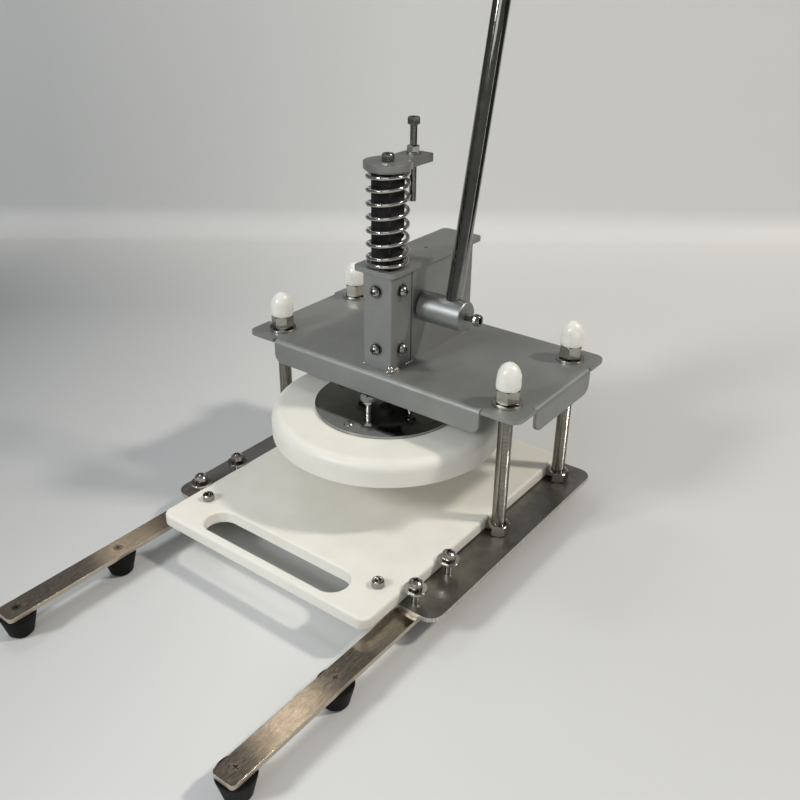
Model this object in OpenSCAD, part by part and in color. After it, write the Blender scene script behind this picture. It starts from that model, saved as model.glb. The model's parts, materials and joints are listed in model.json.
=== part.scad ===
// Hand cake press: a lever turns a pinion, the pinion drives a square rack down through a
// guide column, and the rack carries a round plastic disc onto a plastic board.
// X runs from the left rail to the right rail, Y to the back, Z up from the floor.

/* [Foot rails] */
// Length of each foot rail
rail_len = 456; // [440:1:480]
// How far the rails' middle lines lie inside the post lines
rail_inset = 2.25; // [1:0.25:3.5]
// Width of each foot rail
rail_w = 20; // [19:0.5:26]
// Thickness of each foot rail
rail_t = 4; // [3:0.5:6]
// Radius of the foot rail's end corners
rail_corner = 4; // [2:0.5:8]
// Distance from the rails' front ends back to the press axis
rail_front = 321; // [310:1:340]
// Height of each rubber foot
foot_h = 20; // [17:0.5:26]
// Diameter of a rubber foot at its top
foot_top_d = 28; // [24:0.5:32]
// Diameter of a rubber foot at the floor
foot_base_d = 20; // [18:0.5:24]
// Distance from a rail's front end to the first foot
foot_inset = 12; // [11:0.5:20]
// Distance between the two front feet of a rail
foot_pitch = 95; // [60:1:120]
// Distance from the rear posts forward to the rear feet
foot_rear = 30; // [26:1:50]
// Diameter of a foot screw
foot_screw_d = 4; // [3:0.5:5]

/* [Side plates] */
// Width of each side plate
side_w = 65.5; // [60:0.5:68]
// Thickness of each side plate
side_t = 4; // [3:0.5:6]
// Length of each side plate
side_len = 263; // [250:1:280]
// Distance from the side plates' front ends back to the press axis
side_reach = 130; // [126:1:134]
// Radius of the side plate's corners
side_corner = 12; // [6:1:16]
// How far the side plate reaches out past the post line
side_out = 23; // [18:0.5:26]

/* [Posts] */
// Distance between the left and right posts
post_span_x = 245; // [243:0.5:252]
// Distance between the front and rear posts
post_span_y = 107; // [96:1:112]
// Distance of the front posts from the press axis, forward
post_front = 2; // [0:0.5:8]
// Diameter of a post
post_d = 12; // [11:0.5:13]
// Diameter of a post's turned upper end
post_end_d = 10; // [8:0.5:10]
// Width across the flats of a post nut
nut_af = 18; // [17:0.5:20]
// Height of a post nut
nut_h = 10; // [8:0.5:12]
// Height of the nuts above the top plate
top_nut_h = 12.5; // [10:0.5:14]
// Diameter of the washer on top of each post
post_washer_d = 25; // [23:0.5:28]
// Thickness of that washer
post_washer_t = 2.5; // [1.5:0.5:3]
// Diameter of a post cap
post_cap_d = 21; // [18:0.5:24]
// Height of a post cap
post_cap_h = 21.5; // [20:0.5:30]

/* [Top plate] */
// Height of the top plate's upper face above the floor
plate_top = 152; // [150:0.5:165]
// Distance from the posts out to the top plate's sides
plate_side = 23.5; // [22:0.5:30]
// Distance from the posts out to the top plate's front and rear edges
plate_end = 23.75; // [22:0.25:28]
// Thickness of the top plate's sheet
plate_t = 3; // [2:0.5:4]
// Radius of the top plate's corners
plate_corner = 10; // [6:1:14]
// Outer radius of the flange bends
bend_r = 4; // [4:0.5:6]
// Drop of the flanges below the plate's upper face
flange_h = 22; // [18:0.5:30]
// Distance from the plate's sides to the ends of the front and rear flanges
flange_inset_x = 35; // [32:0.5:45]
// Distance from the plate's front and rear edges to the ends of the side flanges
flange_inset_y = 30.75; // [28:0.25:36]
// Radius of the flanges' lower corners
flange_corner = 8; // [4:0.5:10]

/* [Tower] */
// Outside width of the square guide column
column_w = 30; // [29:0.5:34]
// Wall thickness of the guide column
column_wall = 2; // [1.5:0.25:2.5]
// Height of the guide column above the top plate
column_h = 84.5; // [80:0.5:92]
// Length of the gear housing behind the column
housing_len = 94; // [72:1:98]
// Sheet thickness of the gear housing
housing_wall = 2; // [1.5:0.25:3]
// Thickness of the cover on the tower
cover_t = 4; // [3:0.5:6]
// Radius of the cover's corners
cover_corner = 5; // [2:0.5:8]
// How far the cover stands out on the left
cover_left = 8.5; // [4:0.5:12]
// How far the cover stands out on the right
cover_right = 3.25; // [1:0.25:6]
// How far the cover stands out at the front
cover_front = 2.5; // [1:0.5:6]
// How far the cover stands out at the rear
cover_rear = 9; // [2:0.5:12]
// Height of the lower guide screws above the top plate
guide_low = 18; // [14:0.5:22]
// Height of the upper guide screws above the top plate
guide_high = 70; // [66:0.5:74]

/* [Rack and pinion] */
// Width of the square rack bar
rack_w = 20; // [18:0.5:21]
// Gear module of the rack and pinion
gear_module = 2; // [1.75:0.05:2.05]
// Number of pinion teeth
pinion_teeth = 22; // [20:1:23]
// Width of the pinion
pinion_w = 14; // [10:0.5:15]
// Height of the pinion axis above the top plate
pinion_up = 48; // [44:0.5:50]
// Diameter of the pinion shaft
shaft_d = 12; // [10:0.5:14]
// Downward travel of the ram
travel = 46.6; // [30:0.1:46.6]

/* [Lever] */
// Diameter of the lever hub
hub_d = 26; // [24:0.5:32]
// Length of the lever hub
hub_len = 43; // [40:0.5:50]
// Gap between the gear housing and the hub
hub_gap = 2; // [2:0.25:4]
// Distance from the hub's outer end to the lever rod
rod_inset = 14.5; // [12:0.5:16]
// Diameter of the lever rod
rod_d = 14; // [12:0.5:16]
// Length of the lever rod from the pinion axis to the knob
rod_len = 318; // [250:1:360]
// Backward lean of the lever rod at rest, degrees
rod_lean = 12.25; // [5:0.25:20]
// Diameter of the knob
knob_d = 34; // [28:1:40]

/* [Ram head] */
// Height of the ram cap's underside above the cover, which is the spring's length
spring_len = 79; // [74:0.5:90]
// Outside diameter of the return spring
spring_d = 36.25; // [35:0.25:38]
// Wire diameter of the return spring
wire_d = 3; // [2:0.1:3]
// Number of turns of the return spring
spring_turns = 8.2; // [6:0.1:9]
// Diameter of the ram cap
cap_d = 39.5; // [38:0.5:44]
// Thickness of the ram cap
cap_t = 6.5; // [5:0.5:9]
// Width of the tab on the ram cap
tab_w = 24; // [20:0.5:28]
// Distance from the press axis to the end of the tab
tab_len = 46; // [42:0.5:50]
// Distance from the press axis to the stop screw
stop_out = 33.5; // [30:0.5:36]
// Diameter of the stop screw and the other small screws
screw_d = 6; // [5:0.5:6]
// Height of the stop screw's head above the ram cap
stop_stand = 23; // [15:0.5:30]

/* [Disc] */
// Diameter of the press disc
disc_d = 205.5; // [180:0.5:210]
// Thickness of the press disc
disc_t = 23; // [18:0.5:28]
// Radius of the disc's upper edge
disc_round = 9; // [4:0.5:12]
// Gap that the closed press leaves between the disc and the board
closed_gap = 1.9; // [1:0.1:3]
// Diameter of the backing plate
backing_d = 128; // [120:1:150]
// Thickness of the backing plate
backing_t = 2.5; // [2:0.25:4]
// Radius of the ring of backing plate screws
backing_screw_r = 53; // [48:0.5:56]
// Diameter of a backing plate screw
backing_screw_d = 5; // [4:0.5:6]
// Width of the arms of the cross-shaped foot under the rack
arm_w = 14; // [12:0.5:16]
// Thickness of the foot
ram_foot_t = 3; // [3:0.5:4]
// Radius of the ring of levelling screws
level_r = 26; // [24:0.5:30]

/* [Board] */
// Length of the board
board_len = 298; // [290:1:304]
// Thickness of the board
board_t = 12; // [10:0.5:16]
// Distance from the board's front edge back to the press axis
board_front = 172; // [168:1:176]
// Radius of the board's corners
board_corner = 9; // [6:0.5:14]
// Radius of the board's edges
board_edge = 2.5; // [1:0.25:4]
// Radius of the handle slot's edges
slot_edge = 2; // [1:0.25:3]
// Length of the handle slot
slot_len = 153; // [120:1:160]
// Width of the handle slot
slot_w = 29; // [22:0.5:30]
// Distance from the board's front edge to the handle slot
slot_inset = 8; // [7:0.5:9]
// Distance of the locating screws from the middle of the board
locate_x = 95; // [93:0.5:98]
// Distance from the side plates' front ends to the first clamp screws
clamp_inset = 10.5; // [7.5:0.5:12]
// Distance between the two clamp screws of a side plate
clamp_pitch = 45; // [30:0.5:60]
// Diameter of the clamp screws' washers
clamp_washer_d = 18.5; // [17:0.5:19.5]

/* [Fits] */
// Radial gap of a piece fixed in a hole or on a shaft
fixed_gap = 0.02; // [0.01:0.01:0.04]
// Radial gap of a shaft or screw that turns or slides
running_gap = 0.05; // [0.02:0.01:0.08]
// Gap between flat faces that slide on each other
slide_gap = 0.1; // [0.05:0.05:0.2]
// Radial gap of a screw in a clearance hole
hole_gap = 0.3; // [0.2:0.05:0.4]
// Gap left between parts of a mechanism at rest or at a stop
rest_gap = 0.5; // [0.4:0.05:0.7]
// Backlash between the rack and the pinion
backlash = 0.25; // [0.2:0.05:0.4]

/* [Hidden] */
$fn = 64;

STEEL = [0.62, 0.62, 0.60];
DARK_STEEL = [0.45, 0.44, 0.41];
BRIGHT_STEEL = [0.78, 0.78, 0.76];
BLACK_STEEL = [0.12, 0.12, 0.12];
PLASTIC = [0.93, 0.92, 0.87];
CAP_WHITE = [0.90, 0.90, 0.88];
RUBBER = [0.08, 0.08, 0.08];
BRONZE = [0.70, 0.52, 0.28];
NYLON = [0.88, 0.87, 0.80];

// Heights of the stack from the floor up
rail_top = foot_h + rail_t;
side_top = rail_top + side_t;
board_z = side_top + slide_gap;
board_top = board_z + board_t;
disc_z = board_top + closed_gap + travel;
backing_z = disc_z + disc_t;
backing_top = backing_z + backing_t;
rack_z = plate_top - flange_h - rest_gap;
ram_foot_z = rack_z - ram_foot_t;
column_top = plate_top + column_h;
cover_top = column_top + cover_t;
cap_z = cover_top + spring_len;
cap_top = cap_z + cap_t;
pinion_z = plate_top + pinion_up;

// Places along Y, with the whole press centred on the origin from the front feet to the rails' rear ends
foot_overhang = max(0, foot_top_d / 2 - foot_inset);
axis_y = rail_front + (foot_overhang - rail_len) / 2;
rail_y0 = axis_y - rail_front;
post_y0 = axis_y - post_front;
post_mid_y = post_y0 + post_span_y / 2;
side_front = axis_y - side_reach;
board_y0 = axis_y - board_front;
column_back = axis_y + column_w / 2;
housing_back = column_back + housing_len;

// Places along X
post_x = post_span_x / 2;
rail_x = post_x - rail_inset;
plate_w = post_span_x + 2 * plate_side;
plate_d = post_span_y + 2 * plate_end;
flange_front = plate_w - 2 * flange_inset_x;
flange_side = plate_d - 2 * flange_inset_y;
board_w = post_span_x - nut_af - 2 * rest_gap;
side_x0 = post_x + side_out - side_w;

// Rack and pinion
pitch_r = gear_module * pinion_teeth / 2;
tooth_pitch = PI * gear_module;
addendum = gear_module;
dedendum = 1.25 * gear_module;
pressure = 20;
pinion_y = axis_y + rack_w / 2 - addendum + pitch_r;

// Screws: head sizes follow the screw's diameter
head_d = screw_d * 5 / 3;
small_nut_af = screw_d * 5 / 3;
small_nut_h = screw_d * 5 / 6;
thin_nut_h = 0.55 * screw_d;
foot_bolt_d = 8;
foot_bolt_grip = 16;
small_washer_d = 2 * screw_d;
small_washer_t = 1.6;
guide_d = 5;
guide_washer_d = 12;
guide_washer_t = 1;
guide_spring_d = 9;
guide_spring_t = 1.3;
guide_head_h = 3.5;
clamp_washer_t = 1.6;
clamp_spring_d = 10.5;
clamp_spring_t = 1.6;
clamp_af = 10;
clamp_head_h = 6.5;
cover_gap = 1;
collar_w = 8;
collar_wall = 5;
bush_wall = 3;
bush_flange = 4;
window_margin = 4;
rod_floor = 1.5;
knob_neck_d = 0.6 * knob_d;
knob_thread_len = 0.6 * knob_d;
liner_t = column_w / 2 - column_wall - rack_w / 2 - slide_gap;

// Flat outlines

module rounded_rect(w, d, r) {
    square([w - 2 * r, d], center = true);
    square([w, d - 2 * r], center = true);
    for (x = [-1, 1], y = [-1, 1])
        translate([x * (w / 2 - r), y * (d / 2 - r)]) circle(r);
}

module rounded_plate(w, d, r, t) {
    linear_extrude(t) rounded_rect(w, d, r);
}

// Fasteners, with the head's seat at height zero and the shank pointing down

module hex_nut(af, h, bore_d) {
    chamfer = 0.08 * af;
    difference() {
        intersection() {
            cylinder(d = af / cos(30), h = h, $fn = 6);
            rotate_extrude()
                polygon([[0, 0], [af / 2 - chamfer / 4, 0], [af / 2 + chamfer, chamfer],
                         [af / 2 + chamfer, h - chamfer], [af / 2 - chamfer / 4, h], [0, h]]);
        }
        translate([0, 0, -1]) cylinder(d = bore_d, h = h + 2);
    }
}

module washer(od, id, t) {
    difference() {
        cylinder(d = od, h = t);
        translate([0, 0, -1]) cylinder(d = id, h = t + 2);
    }
}

// Socket cap screw
module cap_screw(d, len) {
    h = d;
    edge = 0.08 * d;
    difference() {
        rotate_extrude()
            polygon([[0, 0], [head_d * d / screw_d / 2, 0], [head_d * d / screw_d / 2, h - edge],
                     [head_d * d / screw_d / 2 - edge, h], [0, h]]);
        translate([0, 0, h / 2]) cylinder(d = 0.83 * d / cos(30), h = h, $fn = 6);
    }
    translate([0, 0, -len]) cylinder(d = d, h = len + 0.01 * d);
}

module cross_recess(d, depth) {
    slot = 0.22 * d;
    for (turn = [0, 90])
        rotate(turn) cube([1.1 * d, slot, 2 * depth], center = true);
}

// Pan head screw: a dome with a cross recess
module pan_screw(d, len, head_h) {
    w = 1.9 * d;
    dome_r = (w * w / 4 + head_h * head_h) / (2 * head_h);
    difference() {
        intersection() {
            translate([0, 0, head_h - dome_r]) sphere(dome_r);
            cylinder(d = w, h = head_h);
        }
        translate([0, 0, head_h]) cross_recess(d, head_h / 2);
    }
    translate([0, 0, -len]) cylinder(d = d, h = len + 0.01 * d);
}

// Hexagon head screw with a domed top and a cross recess
module dome_hex_screw(d, len, af, head_h) {
    dome_r = 0.75 * af;
    difference() {
        intersection() {
            cylinder(d = af / cos(30), h = head_h, $fn = 6);
            translate([0, 0, head_h - dome_r]) sphere(dome_r);
        }
        translate([0, 0, head_h]) cross_recess(d, head_h / 2);
    }
    translate([0, 0, -len]) cylinder(d = d, h = len + 0.01 * d);
}

// Split spring washer
module spring_washer(od, id, t) {
    slit = 0.6 * t;
    difference() {
        washer(od, id, t);
        translate([od / 2, 0, t / 2]) rotate([20, 0, 0]) cube([od, slit, 3 * t], center = true);
    }
}

// Countersunk screw with a cross recess, its flat top at height zero
module flat_screw(d, len) {
    head_h = d / 2;
    difference() {
        translate([0, 0, -head_h]) cylinder(d1 = d, d2 = 2 * d, h = head_h);
        cross_recess(d, head_h / 2);
    }
    translate([0, 0, -len]) cylinder(d = d, h = len - head_h);
}

// The hole that a countersunk screw fills
module flat_screw_hole(d, depth) {
    head_h = d / 2;
    translate([0, 0, -head_h])
        cylinder(d1 = d + 4 * running_gap, d2 = 2 * d + 4 * running_gap, h = head_h);
    translate([0, 0, -depth]) cylinder(d = d + 2 * fixed_gap, h = depth);
    cylinder(d = 2 * d + 4 * running_gap, h = 1);
}

// Places that several sub-parts share

module at_feet(side) {
    front = rail_y0 + foot_inset;
    for (y = [front, front + foot_pitch, post_y0 + post_span_y - foot_rear])
        translate([side * rail_x, y, 0]) children();
}

module at_posts() {
    for (x = [-1, 1], y = [0, 1])
        translate([x * post_x, post_y0 + y * post_span_y, 0]) children();
}

module at_side_posts(side) {
    for (y = [0, 1])
        translate([side * post_x, post_y0 + y * post_span_y, 0]) children();
}

module at_clamps(side) {
    for (y = [0, 1])
        translate([side * rail_x, side_front + clamp_inset + y * clamp_pitch, 0]) children();
}

module at_locating_screws() {
    for (x = [-1, 1])
        translate([x * locate_x, side_front - screw_d / 2 - rest_gap, 0]) children();
}

// Guide screw seats: outward along Z on the left, right and front faces of the column
module at_guide_screws() {
    for (z = [guide_low, guide_high], turn = [-90, 90, 0])
        translate([0, axis_y, plate_top + z]) rotate(turn)
            translate([0, -column_w / 2, 0]) rotate([90, 0, 0]) children();
}

module at_press_axis(z) {
    translate([0, axis_y, z]) children();
}

module at_pinion_axis() {
    translate([0, pinion_y, pinion_z]) rotate([90, 0, 90]) children();
}

module at_level_screws(z) {
    for (turn = [0 : 90 : 270])
        at_press_axis(z) rotate(turn) translate([level_r, 0, 0]) children();
}

module at_backing_screws(z) {
    for (turn = [0 : 90 : 270])
        at_press_axis(z) rotate(turn) translate([backing_screw_r, 0, 0]) children();
}

// Base

foot_screw_len = rail_t + 0.6 * foot_h;

module foot_rail(side) {
    color(STEEL) difference() {
        translate([side * rail_x, rail_y0 + rail_len / 2, foot_h])
            rounded_plate(rail_w, rail_len, rail_corner, rail_t);
        at_feet(side) translate([0, 0, rail_top]) flat_screw_hole(foot_screw_d, 2 * rail_t);
        at_side_posts(side) translate([0, 0, foot_h - 1])
            cylinder(d = post_d + 2 * fixed_gap, h = rail_t + 2);
        at_clamps(side) translate([0, 0, foot_h - 1])
            cylinder(d = screw_d + 2 * fixed_gap, h = rail_t + 2);
    }
}

module rubber_feet() {
    edge = 2;
    color(RUBBER) for (side = [-1, 1]) at_feet(side) difference() {
        rotate_extrude()
            polygon([[0, 0], [foot_base_d / 2 - edge, 0], [foot_base_d / 2, edge],
                     [foot_top_d / 2, foot_h - edge], [foot_top_d / 2, foot_h], [0, foot_h]]);
        translate([0, 0, rail_top - foot_screw_len - rest_gap])
            cylinder(d = foot_screw_d + 2 * fixed_gap, h = foot_h);
    }
}

module foot_screws() {
    color(BRIGHT_STEEL) for (side = [-1, 1]) at_feet(side)
        translate([0, 0, rail_top]) flat_screw(foot_screw_d, foot_screw_len);
}

module side_plate(side) {
    color(DARK_STEEL) difference() {
        translate([side * (side_x0 + side_w / 2), side_front + side_len / 2, rail_top])
            rounded_plate(side_w, side_len, side_corner, side_t);
        at_side_posts(side) translate([0, 0, rail_top - 1])
            cylinder(d = post_d + 2 * fixed_gap, h = side_t + 2);
        at_clamps(side) translate([0, 0, rail_top - 1])
            cylinder(d = screw_d + 2 * fixed_gap, h = side_t + 2);
    }
}

// Posts: a shoulder carries the top plate, and a thinner end takes the washer, nut and cap

post_z0 = foot_h - nut_h - 2;
post_nut_z = plate_top + post_washer_t;
post_cap_z = post_nut_z + top_nut_h;
post_end = post_cap_z + 0.7 * post_cap_h;

module post(x, y) {
    shoulder = plate_top - plate_t;
    color(STEEL) translate([x * post_x, post_y0 + y * post_span_y, 0]) {
        translate([0, 0, post_z0]) cylinder(d = post_d, h = shoulder - post_z0);
        translate([0, 0, shoulder]) cylinder(d = post_end_d, h = post_end - shoulder);
    }
}

module post_base_nuts() {
    color(STEEL) at_posts() {
        translate([0, 0, side_top]) rotate(30) hex_nut(nut_af, nut_h, post_d + 2 * fixed_gap);
        translate([0, 0, foot_h - nut_h]) rotate(30) hex_nut(nut_af, nut_h, post_d + 2 * fixed_gap);
    }
}

module post_washers() {
    color(STEEL) at_posts() translate([0, 0, plate_top])
        washer(post_washer_d, post_end_d + 2 * hole_gap, post_washer_t);
}

module post_top_nuts() {
    turns = [[37, 15], [0, 50]];
    color(STEEL) for (x = [0, 1], y = [0, 1])
        translate([(2 * x - 1) * post_x, post_y0 + y * post_span_y, post_nut_z]) rotate(turns[x][y])
            hex_nut(nut_af, top_nut_h, post_end_d + 2 * fixed_gap);
}

// Bullet-shaped plastic cap: a flared skirt under a long dome
module post_caps() {
    skirt = 0.3 * post_cap_h;
    dome_h = post_cap_h - skirt;
    flare = 1;
    steps = 12;
    hollow = post_end - post_cap_z + rest_gap;
    profile = concat([[0, 0], [post_cap_d / 2 - flare, 0]],
        [for (i = [0 : steps]) let (a = 90 * i / steps)
            [post_cap_d / 2 * cos(a), skirt + dome_h * sin(a)]]);
    color(CAP_WHITE) at_posts() translate([0, 0, post_cap_z]) difference() {
        rotate_extrude() polygon(profile);
        translate([0, 0, -1]) cylinder(d = post_end_d + 2 * fixed_gap, h = hollow + 1);
    }
}

// Top plate: one folded sheet with four flanges and plain corner tabs

// Cross-section of a bend: the sheet's edge turned down, drawn outward along X from the bend's start
module flange_profile() {
    inner_r = bend_r - plate_t;
    intersection() {
        difference() {
            circle(bend_r);
            circle(inner_r);
        }
        square(bend_r);
    }
    translate([inner_r, bend_r - flange_h]) square([plate_t, flange_h - bend_r]);
}

// A flange along Y, its bend starting at X zero and the sheet's upper face at height zero
module flange(len) {
    intersection() {
        translate([0, len / 2, -bend_r]) rotate([90, 0, 0]) linear_extrude(len) flange_profile();
        rotate([90, 0, 90]) linear_extrude(bend_r) union() {
            translate([0, flange_corner - flange_h / 2]) square([len, flange_h], center = true);
            translate([0, -flange_h / 2]) rounded_rect(len, flange_h, flange_corner);
        }
    }
}

module top_plate() {
    relief = 1.5;
    color(STEEL) translate([0, post_mid_y, plate_top]) {
        difference() {
            translate([0, 0, -plate_t]) rounded_plate(plate_w, plate_d, plate_corner, plate_t);
            for (x = [-1, 1])
                translate([x * plate_w / 2, 0, 0])
                    cube([2 * bend_r, flange_side + 2 * relief, 4 * plate_t], center = true);
            for (y = [-1, 1])
                translate([0, y * plate_d / 2, 0])
                    cube([flange_front + 2 * relief, 2 * bend_r, 4 * plate_t], center = true);
            for (x = [-1, 1], y = [-1, 1])
                translate([x * post_x, y * post_span_y / 2, -plate_t - 1])
                    cylinder(d = post_end_d + 2 * fixed_gap, h = plate_t + 2);
            translate([0, axis_y - post_mid_y, 0])
                cube([rack_w + 2 * liner_t, rack_w + 2 * liner_t, 4 * plate_t], center = true);
        }
        for (x = [0, 180])
            rotate(x) translate([plate_w / 2 - bend_r, 0, 0]) flange(flange_side);
        for (y = [90, 270])
            rotate(y) translate([plate_d / 2 - bend_r, 0, 0]) flange(flange_front);
    }
}

// Tower

module guide_column() {
    corner = 2.5;
    bore_w = column_w - 2 * column_wall;
    window_h = 2 * (pitch_r + addendum + window_margin);
    window_w = pinion_w + 2 * window_margin;
    color(STEEL) difference() {
        at_press_axis(plate_top) rounded_plate(column_w, column_w, corner, column_h);
        at_press_axis(plate_top - 1) linear_extrude(column_h + 2) square(bore_w, center = true);
        translate([0, column_back, pinion_z])
            cube([window_w, 4 * column_wall, window_h], center = true);
        at_guide_screws() translate([0, 0, -2 * column_wall])
            cylinder(d = guide_d + 2 * fixed_gap, h = 4 * column_wall);
    }
}

bush_d = shaft_d + 2 * bush_wall;

// A sheet bent to a U behind the column, closed by the column, the cover and the top plate
module gear_housing() {
    bend = 3;
    color(STEEL) difference() {
        translate([0, column_back, plate_top]) linear_extrude(column_h) difference() {
            union() {
                translate([-column_w / 2, 0]) square([column_w, housing_len - bend]);
                translate([0, housing_len - 2 * bend]) rounded_rect(column_w, 4 * bend, bend);
            }
            translate([0, 2 * bend - housing_len]) square([3 * column_w, 2 * bend], center = true);
            translate([-column_w / 2 + housing_wall, -1])
                square([column_w - 2 * housing_wall, housing_len - housing_wall + 1]);
        }
        at_pinion_axis() cylinder(d = bush_d + 2 * fixed_gap, h = 2 * column_w, center = true);
    }
}

module tower_cover() {
    w = column_w + cover_left + cover_right;
    d = column_w + housing_len + cover_front + cover_rear;
    mid_x = (cover_right - cover_left) / 2;
    mid_y = (housing_back + cover_rear) - d / 2;
    rack_hole = rack_w + 2 * cover_gap;
    oil_hole_d = 4;
    oil_hole_x = 3;
    oil_hole_y = 59;
    color(STEEL) difference() {
        translate([mid_x, mid_y, column_top]) rounded_plate(w, d, cover_corner, cover_t);
        at_press_axis(column_top) cube([rack_hole, rack_hole, 4 * cover_t], center = true);
        translate([-oil_hole_x, axis_y + oil_hole_y, column_top - 1])
            cylinder(d = oil_hole_d, h = cover_t + 2);
    }
}

// Flat slide strips on the left, right and front inside faces of the column
module guide_liners() {
    seat = column_w / 2 - column_wall;
    color(NYLON) difference() {
        for (turn = [-90, 90, 0])
            at_press_axis(plate_top) rotate(turn)
                translate([-rack_w / 2, -seat, 0]) cube([rack_w, liner_t, column_h]);
        at_guide_screws() translate([0, 0, -column_wall - liner_t])
            cylinder(d = guide_d + 2 * fixed_gap, h = 2 * liner_t);
    }
}

module guide_screws() {
    liner_grip = 0.6 * liner_t;
    stack = guide_washer_t + guide_spring_t;
    color(BRIGHT_STEEL) at_guide_screws() translate([0, 0, stack])
        pan_screw(guide_d, stack + column_wall + liner_grip, guide_head_h);
}

module guide_spring_washers() {
    color(STEEL) at_guide_screws() translate([0, 0, guide_washer_t])
        spring_washer(guide_spring_d, guide_d + 2 * hole_gap, guide_spring_t);
}

module guide_washers() {
    color(STEEL) at_guide_screws() washer(guide_washer_d, guide_d + 2 * hole_gap, guide_washer_t);
}

// Flanged bushes in the housing's side walls; the flanges keep the pinion in the middle
module shaft_bushes() {
    flange_d = bush_d + 2 * bush_flange;
    inside = column_w / 2 - housing_wall;
    flange_t = inside - pinion_w / 2 - rest_gap;
    reach = inside + housing_wall + hub_gap - rest_gap;
    color(BRONZE) for (turn = [0, 180]) at_pinion_axis() rotate([turn, 0, 0]) difference() {
        union() {
            translate([0, 0, inside - flange_t]) cylinder(d = flange_d, h = flange_t);
            translate([0, 0, inside]) cylinder(d = bush_d, h = reach - inside);
        }
        cylinder(d = shaft_d + 2 * running_gap, h = 2 * column_w);
    }
}

// Board and its screws

// A slab with rounded edges and corners, its underside at height zero
module soft_slab(w, d, t, corner, edge) {
    for (x = [-1, 1], y = [-1, 1])
        translate([x * (w / 2 - corner), y * (d / 2 - corner), 0]) rotate_extrude() intersection() {
            translate([0, t / 2]) rounded_rect(2 * corner, t, edge);
            square([corner, t]);
        }
    translate([corner - w / 2, 0, t / 2]) rotate([90, 0, 90])
        linear_extrude(w - 2 * corner) rounded_rect(d, t, edge);
    translate([0, d / 2 - corner, t / 2]) rotate([90, 0, 0])
        linear_extrude(d - 2 * corner) rounded_rect(w, t, edge);
}

// Half the cross-section of a slot whose edges are rounded over
module slot_profile(half, t, edge) {
    square([half, t]);
    for (low = [0, 1])
        translate([half, low * t]) mirror([0, low]) difference() {
            square(edge);
            translate([edge, edge]) circle(edge);
        }
}

module handle_slot(len, w, t, edge) {
    run = len - w;
    for (x = [-1, 1])
        translate([x * run / 2, 0, 0]) rotate_extrude() slot_profile(w / 2, t, edge);
    translate([-run / 2, 0, 0]) rotate([90, 0, 90]) linear_extrude(run) {
        slot_profile(w / 2, t, edge);
        mirror([1, 0]) slot_profile(w / 2, t, edge);
    }
}

locate_len = board_t + side_t;

module board() {
    color(PLASTIC) difference() {
        translate([0, board_y0 + board_len / 2, board_z])
            soft_slab(board_w, board_len, board_t, board_corner, board_edge);
        translate([0, board_y0 + slot_inset + slot_w / 2, board_z])
            handle_slot(slot_len, slot_w, board_t, slot_edge);
        at_locating_screws() translate([0, 0, board_z - 1])
            cylinder(d = screw_d + 2 * fixed_gap, h = board_t + 2);
    }
}

module board_locating_screws() {
    color(BRIGHT_STEEL) at_locating_screws() translate([0, 0, board_top]) cap_screw(screw_d, locate_len);
}

clamp_z = board_top + slide_gap;
clamp_seat = clamp_z + clamp_washer_t + clamp_spring_t;

module clamp_washers() {
    color(STEEL) for (side = [-1, 1]) at_clamps(side)
        translate([0, 0, clamp_z]) washer(clamp_washer_d, screw_d + 2 * hole_gap, clamp_washer_t);
}

module clamp_screws() {
    color(BRIGHT_STEEL) for (side = [-1, 1]) at_clamps(side)
        translate([0, 0, clamp_seat])
            dome_hex_screw(screw_d, clamp_seat - foot_h, clamp_af, clamp_head_h);
}

module clamp_spring_washers() {
    color(STEEL) for (side = [-1, 1]) at_clamps(side) translate([0, 0, clamp_z + clamp_washer_t])
        spring_washer(clamp_spring_d, screw_d + 2 * hole_gap, clamp_spring_t);
}

// Lever, pinion and shaft

hub_x0 = column_w / 2 + hub_gap;
rod_x = hub_x0 + hub_len - rod_inset;
shaft_end = rod_x - rod_d / 2 - rod_floor;
module pinion_shaft() {
    left = hub_x0 + collar_w;
    color(STEEL) at_pinion_axis() translate([0, 0, -left]) cylinder(d = shaft_d, h = left + shaft_end);
}

// Involute flank: the angle from the tooth's centre line at radius r
base_r = pitch_r * cos(pressure);
function involute(r) = sqrt(r * r / (base_r * base_r) - 1) * 180 / PI - acos(base_r / r);
half_tooth = (tooth_pitch / 2 - backlash / 2) / 2 / pitch_r * 180 / PI;
function flank_angle(r) = half_tooth + involute(pitch_r) - involute(max(r, base_r));
flank_steps = 5;
root_r = pitch_r - dedendum;
outer_r = pitch_r + addendum;
function flank_r(i) = base_r + (outer_r - base_r) * i / flank_steps;
function polar(r, a) = [r * cos(a), r * sin(a)];
function tooth_points(centre) = concat(
    [polar(root_r, centre - flank_angle(base_r))],
    [for (i = [0 : flank_steps]) polar(flank_r(i), centre - flank_angle(flank_r(i)))],
    [for (i = [flank_steps : -1 : 0]) polar(flank_r(i), centre + flank_angle(flank_r(i)))],
    [polar(root_r, centre + flank_angle(base_r))]);

module pinion() {
    step = 360 / pinion_teeth;
    color(STEEL) at_pinion_axis() difference() {
        translate([0, 0, -pinion_w / 2]) linear_extrude(pinion_w)
            polygon([for (k = [0 : pinion_teeth - 1], p = tooth_points(180 + k * step)) p]);
        cylinder(d = shaft_d + 2 * fixed_gap, h = 2 * pinion_w, center = true);
    }
}

module shaft_collar() {
    color(STEEL) at_pinion_axis() translate([0, 0, -hub_x0 - collar_w])
        washer(shaft_d + 2 * collar_wall, shaft_d + 2 * fixed_gap, collar_w);
}

module at_lever_rod() {
    translate([rod_x, pinion_y, pinion_z]) rotate([-rod_lean, 0, 0]) children();
}

rod_root = 0.36 * hub_d;

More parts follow.
